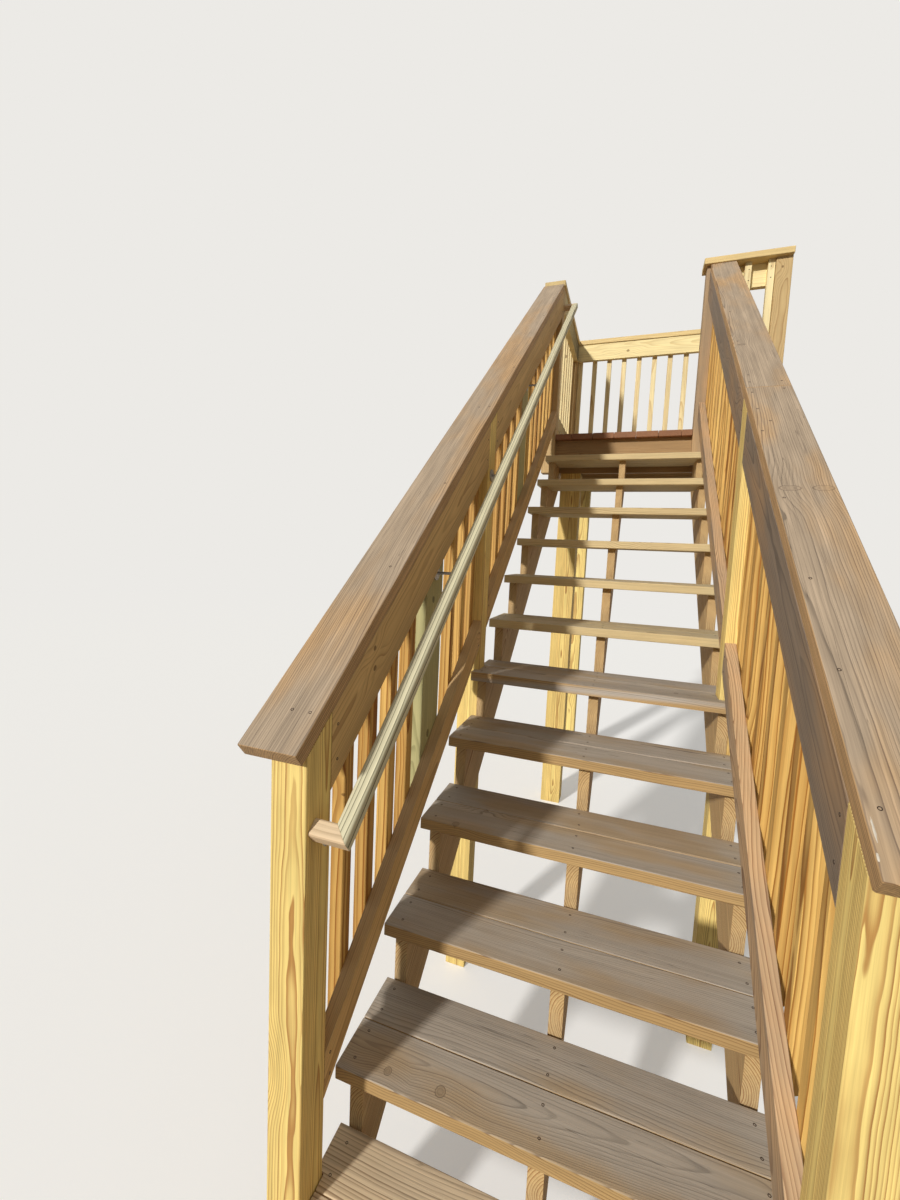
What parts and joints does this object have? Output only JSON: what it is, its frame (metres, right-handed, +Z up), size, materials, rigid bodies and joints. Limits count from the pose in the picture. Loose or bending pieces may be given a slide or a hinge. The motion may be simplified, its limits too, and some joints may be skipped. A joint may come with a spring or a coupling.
{
  "type": "wooden deck stairs",
  "caption": "Open-riser timber deck stair with cut stringers, raked and level baluster guards, a handrail with mitred returns and a framed top landing.",
  "frame": {"origin": "centre of the middle stringer's level foot, on the ground", "axes": "+Y up the flight in plan, from the foot towards the landing; +X to the right, towards the wall, for someone going up; +Z up"},
  "size_m": [1.526, 4.416, 3.829],
  "materials": {
    "framing": "matte",
    "tread": "matte",
    "post": "matte",
    "cap": "matte",
    "rail": "matte",
    "baluster": "matte",
    "pale_rail": "matte",
    "deck": "matte",
    "bracket_metal": "satin"
  },
  "bodies": {
    "root": {"stringer_left": "framing", "stringer_middle": "framing", "stringer_right": "framing", "tread_01": "tread", "tread_02": "tread", "tread_03": "tread", "tread_04": "tread", "tread_05": "tread", "tread_06": "tread", "tread_07": "tread", "tread_08": "tread", "tread_09": "tread", "tread_10": "tread", "tread_11": "tread", "tread_12": "tread", "tread_13": "tread", "newel_left": "post", "newel_right": "post", "mid_posts": "post", "top_post_left": "post", "top_post_right": "post", "stair_cap_left": "cap", "stair_cap_right": "cap", "stair_top_rails": "rail", "stair_low_rails": "rail", "stair_balusters_left": "baluster", "stair_balusters_right": "baluster", "handrail": "pale_rail", "handrail_returns": "pale_rail", "handrail_brackets": "bracket_metal", "bracket_boards": "pale_rail", "deck_boards": "deck", "front_rim": "framing", "back_rim": "framing", "side_rim": "framing", "landing_joists": "framing", "wall_ledger": "framing", "support_posts": "post", "landing_posts": "post", "landing_caps": "cap", "landing_top_rails": "rail", "landing_low_rails": "rail", "landing_balusters_left": "baluster", "landing_balusters_back": "baluster", "landing_balusters_front": "baluster"}
  },
  "joints": []
}
